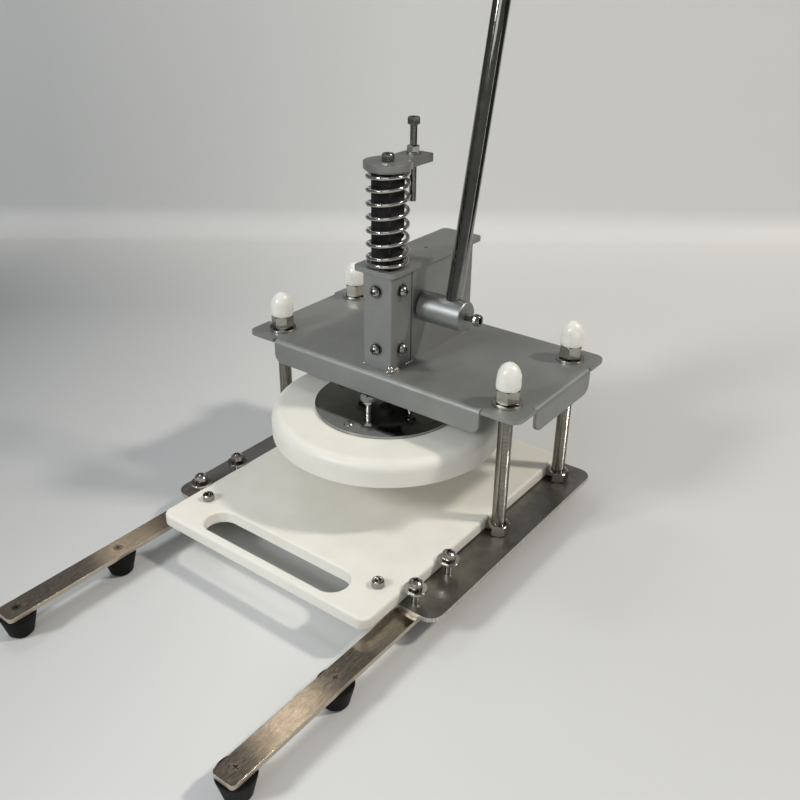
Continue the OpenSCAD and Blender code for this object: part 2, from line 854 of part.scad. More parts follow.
module lever_hub() {
    edge = 0.8;
    color(STEEL) difference() {
        at_pinion_axis() translate([0, 0, hub_x0]) rotate_extrude()
            polygon([[0, 0], [hub_d / 2 - edge, 0], [hub_d / 2, edge], [hub_d / 2, hub_len - edge],
                     [hub_d / 2 - edge, hub_len], [0, hub_len]]);
        at_pinion_axis() cylinder(d = shaft_d + 2 * fixed_gap, h = shaft_end + fixed_gap);
        at_lever_rod() translate([0, 0, -rod_root - fixed_gap])
            cylinder(d = rod_d + 2 * fixed_gap, h = hub_d);
        at_pinion_axis() translate([0, 0, rod_x]) cylinder(d = screw_d + 2 * fixed_gap, h = hub_len);
    }
}

module lever_rod() {
    color(BRIGHT_STEEL) at_lever_rod() {
        translate([0, 0, -rod_root]) cylinder(d = rod_d, h = rod_root + rod_len);
        translate([0, 0, rod_len]) cylinder(d = rod_d / 2, h = knob_thread_len);
    }
}

module lever_knob() {
    neck = 0.12 * knob_d;
    color(RUBBER) at_lever_rod() translate([0, 0, rod_len]) difference() {
        union() {
            translate([0, 0, knob_d / 2]) sphere(d = knob_d);
            cylinder(d = knob_neck_d, h = neck);
        }
        translate([0, 0, -knob_d]) cylinder(d = 2 * knob_d, h = knob_d);
        translate([0, 0, -1])
            cylinder(d = rod_d / 2 + 2 * fixed_gap, h = knob_thread_len + 1 + rest_gap);
    }
}

// Clamps the rod in the hub; its head stands off the hub's outer end
module lever_clamp_screw() {
    stand = 8;
    seat = hub_x0 + hub_len + stand;
    color(BRIGHT_STEEL) at_pinion_axis() translate([0, 0, seat])
        cap_screw(screw_d, seat - rod_x - rod_d / 2 - fixed_gap);
}

// Ram

rack_teeth_down = 3;
mesh_reach = 18;
rack_teeth_up = ceil((travel + mesh_reach) / tooth_pitch);

module ram_rack() {
    chamfer = 1;
    half = rack_w / 2;
    gap_root = tooth_pitch / 2 + backlash / 2 - 2 * dedendum * tan(pressure);
    gap_face = tooth_pitch / 2 + backlash / 2 + 2 * (addendum + 1) * tan(pressure);
    pitch_line = half - addendum;
    tap_depth = 20;
    color(BLACK_STEEL) at_press_axis(0) difference() {
        translate([0, 0, rack_z]) linear_extrude(cap_z - rack_z)
            polygon([for (turn = [0 : 90 : 270], s = [-1, 1])
                half * [cos(turn) - s * (1 - chamfer / half) * sin(turn),
                        sin(turn) + s * (1 - chamfer / half) * cos(turn)]]);
        for (k = [-rack_teeth_down : rack_teeth_up])
            translate([-rack_w, 0, pinion_z + k * tooth_pitch]) rotate([90, 0, 90])
                linear_extrude(2 * rack_w)
                polygon([[pitch_line - dedendum, -gap_root / 2],
                         [pitch_line - dedendum, gap_root / 2],
                         [half + 1, gap_face / 2], [half + 1, -gap_face / 2]]);
        translate([0, 0, cap_z - tap_depth]) cylinder(d = screw_d + 2 * fixed_gap, h = tap_depth + 1);
        translate([0, 0, rack_z - 1]) cylinder(d = foot_bolt_d + 2 * fixed_gap, h = tap_depth + 1);
    }
}

// Return spring: one tube along a helix with closed ends

spring_r = spring_d / 2 - wire_d / 2;
rings_per_turn = 16;
ring_sides = 6;
low_end_turns = 1.1;
high_end_turns = 0.5;
ramp_turns = 0.4;
end_gap = 0.6;
end_pitch = wire_d + end_gap;
spring_start = 66;
spring_rings = round(spring_turns * rings_per_turn);
middle_turns = spring_turns - low_end_turns - high_end_turns - ramp_turns;
extra_pitch = (spring_len - wire_d - 2 * slide_gap - end_pitch * spring_turns) / middle_turns;
function ramp(t) = t <= 0 ? 0 : t >= ramp_turns ? t - ramp_turns / 2 : t * t / (2 * ramp_turns);
function spring_rise(t) = end_pitch * t
    + extra_pitch * (ramp(t - low_end_turns) - ramp(t - spring_turns + high_end_turns + ramp_turns));
function spring_point(i) =
    let (t = i * spring_turns / spring_rings, a = spring_start + 360 * t)
    [spring_r * cos(a), spring_r * sin(a), wire_d / 2 + slide_gap + spring_rise(t)];
function spring_ring(i) =
    let (t = i * spring_turns / spring_rings, a = spring_start + 360 * t, c = spring_point(i))
    [for (k = [0 : ring_sides - 1])
        let (b = 360 * k / ring_sides, out = wire_d / 2 * cos(b))
        c + [out * cos(a), out * sin(a), wire_d / 2 * sin(b)]];
spring_centres = [for (i = [0 : spring_rings]) spring_point(i)];
half_turn = rings_per_turn / 2;
spring_gap = min([for (i = [0 : spring_rings - half_turn], j = [i + half_turn : spring_rings])
    norm(spring_centres[i] - spring_centres[j])]) - wire_d;
echo(spring_least_gap_mm = spring_gap);

module return_spring() {
    points = [for (i = [0 : spring_rings], p = spring_ring(i)) p];
    last = spring_rings * ring_sides;
    side_faces = [for (i = [0 : spring_rings - 1], k = [0 : ring_sides - 1])
        let (a = i * ring_sides + k, b = i * ring_sides + (k + 1) % ring_sides)
        each [[a, a + ring_sides, b], [b, a + ring_sides, b + ring_sides]]];
    end_faces = [for (k = [1 : ring_sides - 2])
        each [[0, k, k + 1], [last, last + k + 1, last + k]]];
    color(BRIGHT_STEEL) at_press_axis(cover_top) polyhedron(points, concat(side_faces, end_faces));
}

// Ram cap: a disc with a straight-ended tab for the stop screw
module ram_cap() {
    corner = 2;
    chamfer = 1.5;
    color(STEEL) at_press_axis(cap_z) difference() {
        union() {
            rotate_extrude()
                polygon([[0, 0], [cap_d / 2 - chamfer, 0], [cap_d / 2, chamfer],
                         [cap_d / 2, cap_t], [0, cap_t]]);
            linear_extrude(cap_t) translate([0, tab_len / 2]) rounded_rect(tab_w, tab_len, corner);
        }
        translate([0, 0, -1]) cylinder(d = screw_d + 2 * hole_gap, h = cap_t + 2);
        translate([0, stop_out, -1]) cylinder(d = screw_d + 2 * running_gap, h = cap_t + 2);
    }
}

module ram_cap_screw() {
    color(BRIGHT_STEEL) at_press_axis(cap_top) cap_screw(screw_d, cap_t + 2 * screw_d);
}

module at_stop(z) {
    at_press_axis(z) translate([0, stop_out, 0]) children();
}

stop_tip = cover_top + travel + rest_gap;

module stop_screw() {
    seat = cap_top + stop_stand;
    color(BRIGHT_STEEL) at_stop(seat) cap_screw(screw_d, seat - stop_tip);
}

module stop_washer() {
    color(STEEL) at_stop(cap_top) washer(small_washer_d, screw_d + 2 * hole_gap, small_washer_t);
}

module stop_locknut() {
    color(STEEL) at_stop(cap_top + small_washer_t)
        hex_nut(small_nut_af, small_nut_h, screw_d + 2 * running_gap);
}

// Cross-shaped foot on the rack's lower end; its front arm stops under the top plate's front flange
module ram_foot() {
    boss_d = 2 * rack_w;
    color(STEEL) difference() {
        at_press_axis(ram_foot_z) linear_extrude(ram_foot_t) {
            circle(d = boss_d);
            for (turn = [0 : 90 : 270]) rotate(turn) {
                translate([0, -arm_w / 2]) square([level_r, arm_w]);
                translate([level_r, 0]) circle(d = arm_w);
            }
        }
        at_level_screws(rack_z) flat_screw_hole(screw_d, 2 * ram_foot_t);
        at_press_axis(ram_foot_z - 1) cylinder(d = foot_bolt_d + 2 * hole_gap, h = ram_foot_t + 2);
    }
}

// Bolt from below that ties the foot to the rack
module ram_foot_bolt() {
    color(BRIGHT_STEEL) at_press_axis(ram_foot_z) rotate([180, 0, 0])
        cap_screw(foot_bolt_d, ram_foot_t + foot_bolt_grip);
}

level_end = backing_z - disc_t / 2;

module levelling_screws() {
    color(BRIGHT_STEEL) at_level_screws(rack_z) flat_screw(screw_d, rack_z - level_end);
}

module levelling_nuts() {
    color(STEEL) at_level_screws(ram_foot_z - thin_nut_h)
        hex_nut(small_nut_af, thin_nut_h, screw_d + 2 * fixed_gap);
}

module backing_plate() {
    color(BRIGHT_STEEL) difference() {
        at_press_axis(backing_z) cylinder(d = backing_d, h = backing_t);
        at_level_screws(backing_z - 1) cylinder(d = screw_d + 2 * fixed_gap, h = backing_t + 2);
        at_backing_screws(backing_z - 1)
            cylinder(d = backing_screw_d + 2 * fixed_gap, h = backing_t + 2);
    }
}

backing_screw_len = 0.7 * disc_t;
backing_head_h = 2.5;

module backing_screws() {
    color(BRIGHT_STEEL) at_backing_screws(backing_top)
        pan_screw(backing_screw_d, backing_screw_len, backing_head_h);
}

module press_disc() {
    edge = 1;
    r = disc_d / 2;
    color(PLASTIC) difference() {
        at_press_axis(disc_z) rotate_extrude() {
            square([r - disc_round, disc_t]);
            translate([0, edge]) square([r, disc_t - disc_round - edge]);
            translate([r - disc_round, disc_t - disc_round]) intersection() {
                circle(disc_round);
                square(disc_round);
            }
            translate([r - edge, edge]) intersection() {
                circle(edge);
                translate([0, -edge]) square(edge);
            }
            square([r - edge, edge]);
        }
        at_level_screws(level_end) cylinder(d = screw_d + 2 * fixed_gap, h = disc_t);
        at_backing_screws(backing_top - backing_screw_len)
            cylinder(d = backing_screw_d + 2 * fixed_gap, h = disc_t);
    }
}

foot_rail(-1);  // foot_rail_left
foot_rail(1);  // foot_rail_right
rubber_feet();
foot_screws();
side_plate(-1);  // side_plate_left
side_plate(1);  // side_plate_right
post(-1, 0);  // post_front_left
post(1, 0);  // post_front_right
post(-1, 1);  // post_rear_left
post(1, 1);  // post_rear_right
post_base_nuts();
post_washers();
post_top_nuts();
post_caps();
top_plate();
guide_column();
gear_housing();
tower_cover();
guide_liners();
guide_screws();
guide_spring_washers();
guide_washers();
clamp_screws();
clamp_spring_washers();
clamp_washers();
board();
board_locating_screws();
shaft_bushes();
pinion_shaft();
pinion();
shaft_collar();
lever_hub();
lever_rod();
lever_knob();
lever_clamp_screw();
ram_rack();
return_spring();
ram_cap();
ram_cap_screw();
stop_screw();
stop_locknut();
stop_washer();
ram_foot();
ram_foot_bolt();
levelling_screws();
levelling_nuts();
backing_plate();
backing_screws();
press_disc();
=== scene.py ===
"""Looks of the hand cake press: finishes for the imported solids, and the threads, knurls, spring,
caps and welds that are modelled as meshes here. Lengths are in metres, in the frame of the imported
part."""

import json
import math
import random

import bpy
from mathutils import Matrix, Vector

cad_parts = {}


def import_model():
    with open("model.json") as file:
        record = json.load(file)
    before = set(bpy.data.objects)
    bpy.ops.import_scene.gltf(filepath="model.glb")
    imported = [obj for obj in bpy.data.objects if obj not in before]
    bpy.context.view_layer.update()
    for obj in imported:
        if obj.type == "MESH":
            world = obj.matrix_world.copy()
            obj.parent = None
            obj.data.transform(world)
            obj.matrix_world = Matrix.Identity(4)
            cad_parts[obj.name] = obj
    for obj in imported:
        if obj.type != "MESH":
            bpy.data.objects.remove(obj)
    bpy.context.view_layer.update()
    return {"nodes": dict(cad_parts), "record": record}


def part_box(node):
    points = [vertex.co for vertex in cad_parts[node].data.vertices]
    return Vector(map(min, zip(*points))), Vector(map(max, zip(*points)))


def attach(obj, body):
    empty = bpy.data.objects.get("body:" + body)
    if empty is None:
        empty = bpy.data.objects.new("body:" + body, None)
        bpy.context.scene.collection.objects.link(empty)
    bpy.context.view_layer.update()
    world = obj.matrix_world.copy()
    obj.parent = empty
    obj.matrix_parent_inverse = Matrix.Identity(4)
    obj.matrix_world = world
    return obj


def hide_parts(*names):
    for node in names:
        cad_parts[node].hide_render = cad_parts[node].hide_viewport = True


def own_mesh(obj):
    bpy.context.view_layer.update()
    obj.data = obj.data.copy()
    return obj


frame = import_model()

NODES = frame["nodes"]
SLOTS = {row["node"]: row["material_slot"] for row in frame["record"]["subparts"]}
SCENE = bpy.context.scene
MM = 0.001
TAU = 2 * math.pi


# Shader nodes

NOISE_LOW, NOISE_HIGH = 0.3, 0.7    # most values of a noise lie between these
CUT_LEVEL, FACE_LEVEL = 0.3, 0.8    # how level a cut edge and a face of sheet are, at the limit
SHEET_EDGE = 0.5 * MM               # rounding of a sheet whose burr is taken off
EDGE_SAMPLES, AIR_SAMPLES = 4, 6


class Shader:
    """One procedural material: its node tree, its surface shader and short ways to add nodes."""

    def __init__(self, name):
        self.material = bpy.data.materials.new(name)
        self.material.use_nodes = True
        self.tree = self.material.node_tree
        self.surface = self.tree.nodes["Principled BSDF"]
        self.place = self.add("ShaderNodeTexCoord").outputs["Object"]

    def add(self, kind, inputs=None, **settings):
        """A node with its settings, and its inputs linked or set."""
        node = self.tree.nodes.new(kind)
        for key, value in settings.items():
            setattr(node, key, value)
        for key, value in (inputs or {}).items():
            self.feed(node.inputs[key], value)
        return node

    def feed(self, socket, value):
        """Links a socket to another node's output, or sets it to a constant."""
        if isinstance(value, bpy.types.NodeSocket):
            self.tree.links.new(value, socket)
        else:
            socket.default_value = value

    def set(self, **values):
        """Inputs of the surface shader, with _ for the spaces in their names."""
        for key, value in values.items():
            self.feed(self.surface.inputs[key.replace("_", " ")], value)

    def noise(self, scale, detail=3, rough=0.55, stretch=(1, 1, 1), shift=0.0):
        """Noise with its features' size in 1 / scale metres, drawn out where stretch is small."""
        at = self.add("ShaderNodeMapping", {"Vector": self.place, "Scale": stretch,
                                            "Location": (shift, 2 * shift, 3 * shift)})
        inputs = {"Vector": at.outputs[0], "Scale": scale, "Detail": detail, "Roughness": rough}
        return self.add("ShaderNodeTexNoise", inputs).outputs[0]

    def ramp(self, value, low, high, to_low=0.0, to_high=1.0):
        """Value from low to high becomes to_low to to_high, held at both ends."""
        inputs = {0: value, 1: low, 2: high, 3: to_low, 4: to_high}
        return self.add("ShaderNodeMapRange", inputs).outputs[0]

    def spread(self, noise, to_low=0.0, to_high=1.0):
        """A noise over its usual values becomes to_low to to_high."""
        return self.ramp(noise, NOISE_LOW, NOISE_HIGH, to_low, to_high)

    def math(self, operation, a, b):
        return self.add("ShaderNodeMath", {0: a, 1: b}, operation=operation).outputs[0]

    def total(self, a, b):
        return self.math("ADD", a, b)

    def mix(self, share, a, b):
        """Colour a where share is 0 and b where it is 1."""
        node = self.add("ShaderNodeMix", data_type="RGBA")
        self.feed(node.inputs["Factor"], share)
        self.feed(node.inputs["A"], a)
        self.feed(node.inputs["B"], b)
        return node.outputs["Result"]

    def level(self):
        """1 on level faces, falling to 0 on upright ones."""
        normal = self.add("ShaderNodeNewGeometry").outputs["Normal"]
        split = self.add("ShaderNodeSeparateXYZ", {0: normal})
        return self.math("ABSOLUTE", split.outputs["Z"], 0.0)

    def by_face(self, level, on_cut=0.0, on_face=1.0):
        """One value on the upright cut edges of a sheet that lies flat, another on its faces."""
        return self.ramp(level, CUT_LEVEL, FACE_LEVEL, on_cut, on_face)

    def along(self, way):
        """How far a place lies along a direction."""
        node = self.add("ShaderNodeVectorMath", {0: self.place, 1: way}, operation="DOT_PRODUCT")
        return node.outputs["Value"]

    def soft_edge(self, radius):
        """Normals rounded over near edges."""
        return self.add("ShaderNodeBevel", {"Radius": radius}, samples=EDGE_SAMPLES).outputs[0]

    def open_air(self, reach):
        """1 on open surfaces, falling to 0 in recesses narrower than reach: the ambient-occlusion
        mask of the painted recess shade.
        """
        node = self.add("ShaderNodeAmbientOcclusion", {"Distance": reach}, samples=AIR_SAMPLES)
        return node.outputs["AO"]

    def bump(self, height, depth, strength=1.0, normal=None):
        inputs = {"Height": height, "Distance": depth, "Strength": strength}
        if normal:
            inputs["Normal"] = normal
        return self.add("ShaderNodeBump", inputs).outputs[0]


def rgb(r, g, b):
    """An 8-bit screen colour as linear values."""
    def linear(v):
        v /= 255
        return v / 12.92 if v <= 0.04045 else ((v + 0.055) / 1.055) ** 2.4
    return linear(r), linear(g), linear(b), 1.0


# Materials

ALONG_Y = (1, 0.17, 1)              # draws brushed lines out along the rails
ALONG_Z = (1, 1, 0.08)              # and hair scratches along upright pieces
SAWN_STEEL = rgb(186, 177, 162)
# Painted shade: dark colours mixed into recesses by ambient occlusion
RAIL_RECESS_SHADE = rgb(30, 27, 23)
RECESS_SHADE = rgb(24, 23, 21)


def brushed_steel(name, dark, light, rough, stretch):
    """Steel brushed one way: fine drawn-out lines, broad stains, handling marks, sawn edges, and
    painted shade in recesses.
    """
    s = Shader(name)
    lines = s.noise(scale=1150, detail=5, rough=0.7, stretch=stretch)
    cloud = s.noise(scale=18, detail=5, rough=0.6)
    marks = s.noise(scale=160, detail=4, rough=0.6, shift=3.1)
    share = s.total(s.spread(cloud, 0.0, 0.45), s.spread(lines, -0.25, 0.8))
    # Painted shade: the dark rail colour is mixed in by ambient occlusion in recesses narrower than
    # 1 mm
    recess_shade = s.ramp(s.open_air(1.0 * MM), low=0.3, high=0.9)
    level = s.level()
    steel = s.mix(s.by_face(level), SAWN_STEEL, s.mix(share, dark, light))
    s.set(Base_Color=s.mix(recess_shade, RAIL_RECESS_SHADE, steel), Metallic=s.by_face(level, on_cut=0.5))
    sawn = s.by_face(level, on_cut=0.3, on_face=0.0)
    grain = s.total(s.spread(lines, rough - 0.03, rough + 0.03), sawn)
    s.set(Roughness=s.total(grain, s.ramp(marks, 0.35, 0.7, to_low=-0.01, to_high=0.03)))
    s.set(Normal=s.bump(lines, 0.02 * MM, strength=0.3, normal=s.soft_edge(SHEET_EDGE)))
    across = s.add("ShaderNodeCombineXYZ", {"X": 1.0})
    s.set(Anisotropic=0.85, Tangent=across.outputs[0])
    return s.material


def satin_steel(name, dark, light, rough, speckle=0.05 * MM, cloud_scale=14, metal=0.75,
                edge=None):
    """Blasted or rolled steel: a fine speckle under soft cloudy stains, and scored cut edges
    where edge gives their colour."""
    s = Shader(name)
    grain = s.noise(scale=2600, detail=2, rough=0.6)
    cloud = s.noise(scale=cloud_scale, detail=6, rough=0.62)
    smear = s.noise(scale=60, detail=4, stretch=(1, 0.35, 1), shift=1.7)
    share = s.total(s.spread(cloud, 0.05, 0.8), s.spread(grain, -0.12, 0.12))
    steel = s.mix(share, dark, light)
    if edge:
        scored = s.spread(s.noise(scale=700, stretch=(1, 1, 0.1)), -0.3, 0.7)
        steel = s.mix(s.math("MAXIMUM", s.by_face(s.level()), scored), edge, steel)
    s.set(Base_Color=steel, Metallic=metal)
    s.set(Roughness=s.total(s.spread(smear, rough - 0.06, rough + 0.07),
                            s.spread(grain, -0.03, 0.03)))
    s.set(Normal=s.bump(grain, speckle, strength=0.6, normal=s.soft_edge(SHEET_EDGE)))
    return s.material


def polished_steel(name, dark, light, rough, scratch=0.02 * MM, reach=1.2 * MM):
    """Bright turned or rolled steel with hair scratches, a thin film of dust, and painted shade in
    recesses narrower than reach."""
    s = Shader(name)
    hairs = s.noise(scale=900, detail=4, rough=0.7, stretch=ALONG_Z)
    film = s.noise(scale=70, detail=4, rough=0.6, shift=5.3)
    # Painted shade: the dark recess colour is mixed in by ambient occlusion within reach
    recess_shade = s.ramp(s.open_air(reach), low=0.25, high=0.85)
    steel = s.mix(s.spread(film), dark, light)
    s.set(Base_Color=s.mix(recess_shade, RECESS_SHADE, steel), Metallic=1.0)
    s.set(Roughness=s.total(s.ramp(film, 0.35, 0.7, to_low=rough, to_high=rough + 0.05),
                            s.ramp(hairs, 0.4, 0.7, to_low=-0.03, to_high=0.05)))
    s.set(Normal=s.bump(hairs, scratch, strength=0.5))
    return s.material


def cut_plastic(name, dark, light, rough):
    """White cutting-board plastic: a waxy body with faint knife lines and scuffs."""
    s = Shader(name)
    waxy = s.noise(scale=30, detail=4, rough=0.6)
    pebble = s.noise(scale=900, detail=3, rough=0.6)
    scuff = s.noise(scale=420, detail=4, rough=0.7, stretch=(1, 0.12, 1), shift=2.2)
    s.set(Base_Color=s.mix(s.spread(waxy), dark, light))
    s.set(Roughness=s.total(s.spread(waxy, rough - 0.05, rough + 0.06),
                            s.ramp(scuff, 0.45, 0.75, to_low=-0.02, to_high=0.10)))
    s.set(Subsurface_Weight=0.2, Subsurface_Radius=(0.006, 0.005, 0.0035), Subsurface_Scale=1.0)
    s.set(Specular_IOR_Level=0.45)
    pebbled = s.bump(pebble, 0.02 * MM, strength=0.4)
    s.set(Normal=s.bump(scuff, 0.03 * MM, strength=0.5, normal=pebbled))
    return s.material


def cap_plastic(name, dark, light):
    """Soft translucent plastic of the post caps."""
    s = Shader(name)
    cloud = s.noise(scale=160, detail=4, rough=0.6)
    dimple = s.noise(scale=700, detail=2, rough=0.5)
    s.set(Base_Color=s.mix(s.spread(cloud), dark, light))
    s.set(Roughness=s.spread(cloud, 0.24, 0.34))
    s.set(Subsurface_Weight=0.5, Subsurface_Radius=(0.004, 0.004, 0.0035), Subsurface_Scale=1.0)
    s.set(Coat_Weight=0.3, Coat_Roughness=0.15)
    s.set(Normal=s.bump(dimple, 0.05 * MM, strength=0.5))
    return s.material


def matt_black(name, dark, light, rough, grit_scale, grit, **surface):
    """Rubber, oxide or moulded black with a fine grit and greyed high spots. Surface names
    further inputs of the surface shader."""
    s = Shader(name)
    grain = s.noise(scale=grit_scale, detail=4, rough=0.65)
    dust = s.noise(scale=55, detail=5, rough=0.65, shift=4.4)
    s.set(Base_Color=s.mix(s.ramp(dust, low=0.4, high=0.75), dark, light))
    s.set(Roughness=s.total(s.spread(dust, rough - 0.06, rough + 0.08),
                            s.spread(grain, -0.04, 0.04)))
    s.set(Normal=s.bump(grain, grit, strength=0.6), **surface)
    return s.material


def weld_steel(name, dark, light):
    """Fused weld metal with bright ripples."""
    s = Shader(name)
    ripple = s.noise(scale=900, detail=3, rough=0.6)
    heat = s.noise(scale=120, detail=3, rough=0.6, shift=6.0)
    s.set(Base_Color=s.mix(s.ramp(heat, low=0.35, high=0.65), dark, light), Metallic=1.0)
    s.set(Roughness=s.spread(ripple, 0.16, 0.36))
    s.set(Normal=s.bump(ripple, 0.15 * MM, strength=0.6))
    return s.material


# Each material's maker, dark and light colour and further values

RECIPES = {
    "rail_steel": (brushed_steel, rgb(122, 114, 103), rgb(176, 166, 150),
                   {"rough": 0.17, "stretch": ALONG_Y}),
    "side_steel": (satin_steel, rgb(100, 98, 94), rgb(168, 165, 159),
                   {"rough": 0.33, "cloud_scale": 26, "metal": 0.92, "edge": rgb(206, 202, 195)}),
    "plate_steel": (satin_steel, rgb(147, 149, 146), rgb(165, 167, 164), {"rough": 0.54}),
    "bright_steel": (polished_steel, rgb(176, 174, 169), rgb(196, 194, 189), {"rough": 0.12}),
    "mirror_steel": (polished_steel, rgb(150, 149, 146), rgb(172, 171, 168),
                     {"rough": 0.10, "scratch": 0.01 * MM}),
    "black_steel": (matt_black, rgb(34, 34, 35), rgb(66, 65, 64),
                    {"rough": 0.38, "grit_scale": 1500, "grit": 0.02 * MM, "Metallic": 0.7}),
    "ivory_plastic": (cut_plastic, rgb(230, 228, 218), rgb(237, 235, 227), {"rough": 0.42}),
    "cap_plastic": (cap_plastic, rgb(234, 232, 223), rgb(242, 241, 235), {}),
    "guide_plastic": (cut_plastic, rgb(206, 204, 196), rgb(216, 215, 208), {"rough": 0.5}),
    "black_rubber": (matt_black, rgb(6, 6, 6), rgb(16, 15, 15),
                     {"rough": 0.55, "grit_scale": 1200, "grit": 0.05 * MM,
                      "Specular_IOR_Level": 0.15}),
    "black_plastic": (matt_black, rgb(20, 20, 21), rgb(38, 38, 38),
                      {"rough": 0.3, "grit_scale": 1800, "grit": 0.02 * MM}),
    "bronze": (polished_steel, rgb(96, 74, 48), rgb(128, 102, 70), {"rough": 0.34}),
    "hub_steel": (satin_steel, rgb(160, 163, 162), rgb(174, 177, 176),
                  {"rough": 0.45, "speckle": 0.03 * MM, "metal": 1.0}),
    "ram_cap_steel": (satin_steel, rgb(142, 143, 140), rgb(160, 161, 158),
                      {"rough": 0.42, "speckle": 0.03 * MM}),
    "lever_steel": (polished_steel, rgb(128, 128, 124), rgb(144, 144, 139),
                    {"rough": 0.06, "scratch": 0.004 * MM}),
    "screw_head_steel": (polished_steel, rgb(150, 148, 142), rgb(176, 174, 168),
                         {"rough": 0.24, "reach": 2.4 * MM}),
    "foot_screw_steel": (polished_steel, rgb(112, 103, 92), rgb(140, 130, 117),
                         {"rough": 0.2, "reach": 3.0 * MM}),
    "knurled_steel": (polished_steel, rgb(138, 136, 131), rgb(162, 160, 155), {"rough": 0.08}),
    "post_steel": (polished_steel, rgb(142, 139, 131), rgb(164, 161, 153), {"rough": 0.15}),
    "nut_steel": (polished_steel, rgb(156, 152, 143), rgb(180, 176, 166), {"rough": 0.14}),
    "weld_steel": (weld_steel, rgb(176, 172, 166), rgb(214, 211, 204), {}),
}
MATERIALS = {name: maker(name, dark, light, **values)
             for name, (maker, dark, light, values) in RECIPES.items()}


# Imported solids: finishes, each the slot's own material where no other is named

FINISHES = {
    "foot_screws": "foot_screw_steel",
    "lever_hub": "hub_steel",
    "lever_rod": "lever_steel",
    "ram_cap": "ram_cap_steel",
    "post_base_nuts": "nut_steel",
    "post_top_nuts": "nut_steel",
    "guide_screws": "screw_head_steel",
    "guide_washers": "screw_head_steel",
    "clamp_screws": "screw_head_steel",
    "guide_spring_washers": "black_steel",
    "clamp_spring_washers": "black_steel",
}
for node_name, node_object in NODES.items():
    node_object.data.materials.clear()
    node_object.data.materials.append(MATERIALS[FINISHES.get(node_name) or SLOTS[node_name]])


# Meshes built here

THREAD_STEPS = 28
THREAD_DEPTH = 0.4                  # as a share of the pitch
THREAD_PROFILE = ((0, 0), (0.46, 0), (0.64, 1), (0.82, 1))  # shares of the pitch and the depth


def add_object(name, data):
    """A new object in the scene."""
    obj = bpy.data.objects.new(name, data)
    SCENE.collection.objects.link(obj)
    return obj


def mesh_object(name, points, faces, material):
    """A new object with a mesh of one material."""
    mesh = bpy.data.meshes.new(name)
    mesh.from_pydata(points, [], faces)
    mesh.materials.append(material)
    return add_object(name, mesh)


def polar(radius, angle, z, middle=(0, 0)):
    """The point at a radius and angle about a middle, at height z."""
    return middle[0] + radius * math.cos(angle), middle[1] + radius * math.sin(angle), z


def angles(steps):
    return [TAU * j / steps for j in range(steps)]


def circle(radius, z, steps):
    return [polar(radius, angle, z) for angle in angles(steps)]


def hexagon(across_flats, z, steps):
    """A hexagon drawn with steps points, so that it lofts onto a circle."""
    ring = []
    for angle in angles(steps):
        off = (angle % (TAU / 6)) - TAU / 12
        ring.append(polar(across_flats / 2 / math.cos(off), angle, z))
    return ring


def knurl(radius, depth, z, steps):
    """A circle with every second point pulled in."""
    return [polar(radius - depth * (j % 2), angle, z) for j, angle in enumerate(angles(steps))]


def tube_ring(centre, radius, side, other, steps):
    """Points about a centre, in the plane of two directions."""
    return [centre + radius * (math.cos(angle) * side + math.sin(angle) * other)
            for angle in angles(steps)]


class Shape:
    """Points and faces of one mesh piece."""

    def __init__(self):
        self.points, self.faces = [], []

    def loft(self, rings):
        """Skin over rings of equally many points, each ring a closed loop, with closed ends."""
        base, n = len(self.points), len(rings[0])
        for ring in rings:
            self.points += [Vector(p) for p in ring]
        for i in range(len(rings) - 1):
            for j in range(n):
                a, b = base + i * n + j, base + i * n + (j + 1) % n
                self.faces.append((a, b, b + n, a + n))
        self.fan(range(base + n - 1, base - 1, -1))
        last = base + (len(rings) - 1) * n
        self.fan(range(last, last + n))

    def fan(self, loop):
        """Closes a loop of points with triangles about its middle."""
        loop = list(loop)
        middle = len(self.points)
        self.points.append(sum((self.points[i] for i in loop), Vector()) / len(loop))
        for k, i in enumerate(loop):
            self.faces.append((i, loop[(k + 1) % len(loop)], middle))

    def thread(self, radius, pitch, low, high, depth=THREAD_DEPTH):
        """Vee thread about Z from low to high, with closed flat ends."""
        steps, rows, base = THREAD_STEPS, len(THREAD_PROFILE), len(self.points)
        turns = math.ceil((high - low) / pitch) + 2
        for turn in range(-1, turns):
            for phase, cut in THREAD_PROFILE:
                for j, angle in enumerate(angles(steps)):
                    z = low + pitch * (turn + phase + j / steps)
                    z = min(max(z, low), high)
                    self.points.append(Vector(polar(radius - cut * depth * pitch, angle, z)))
        total = (turns + 1) * rows
        for i in range(total - 1):
            for j in range(steps):
                up = 0 if j + 1 < steps else rows
                if i + up + 1 < total:
                    a, b = base + i * steps + j, base + (i + up) * steps + (j + 1) % steps
                    self.faces.append((a, b, b + steps, a + steps))
        self.fan(range(base + steps - 1, base - 1, -1))
        self.fan(range(len(self.points) - 1 - steps, len(self.points) - 1))

    def add(self, other, matrix=Matrix()):
        """Takes in another shape, moved by matrix."""
        base = len(self.points)
        self.points += [matrix @ p for p in other.points]
        self.faces += [tuple(base + i for i in face) for face in other.faces]

    def build(self, name, material, body, smooth_angle, replaces=()):
        """The finished object, riding on a body."""
        obj = mesh_object(name, self.points, self.faces, MATERIALS[material])
        obj.data.validate()
        obj.data.shade_smooth()
        obj.data.set_sharp_from_angle(angle=math.radians(smooth_angle))
        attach(obj, body)
        if replaces:
            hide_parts(*replaces)
        return obj


# Threaded posts, with a plain end above a shoulder under the top plate

POSTS = ("post_front_left", "post_front_right", "post_rear_left", "post_rear_right")
POST_PITCH = 1.25 * MM
POST_THREAD_DEPTH = 0.2             # as a share of the pitch
POST_END_R = 5 * MM
POST_END_EDGE = 1 * MM
PLATE_T = 3 * MM


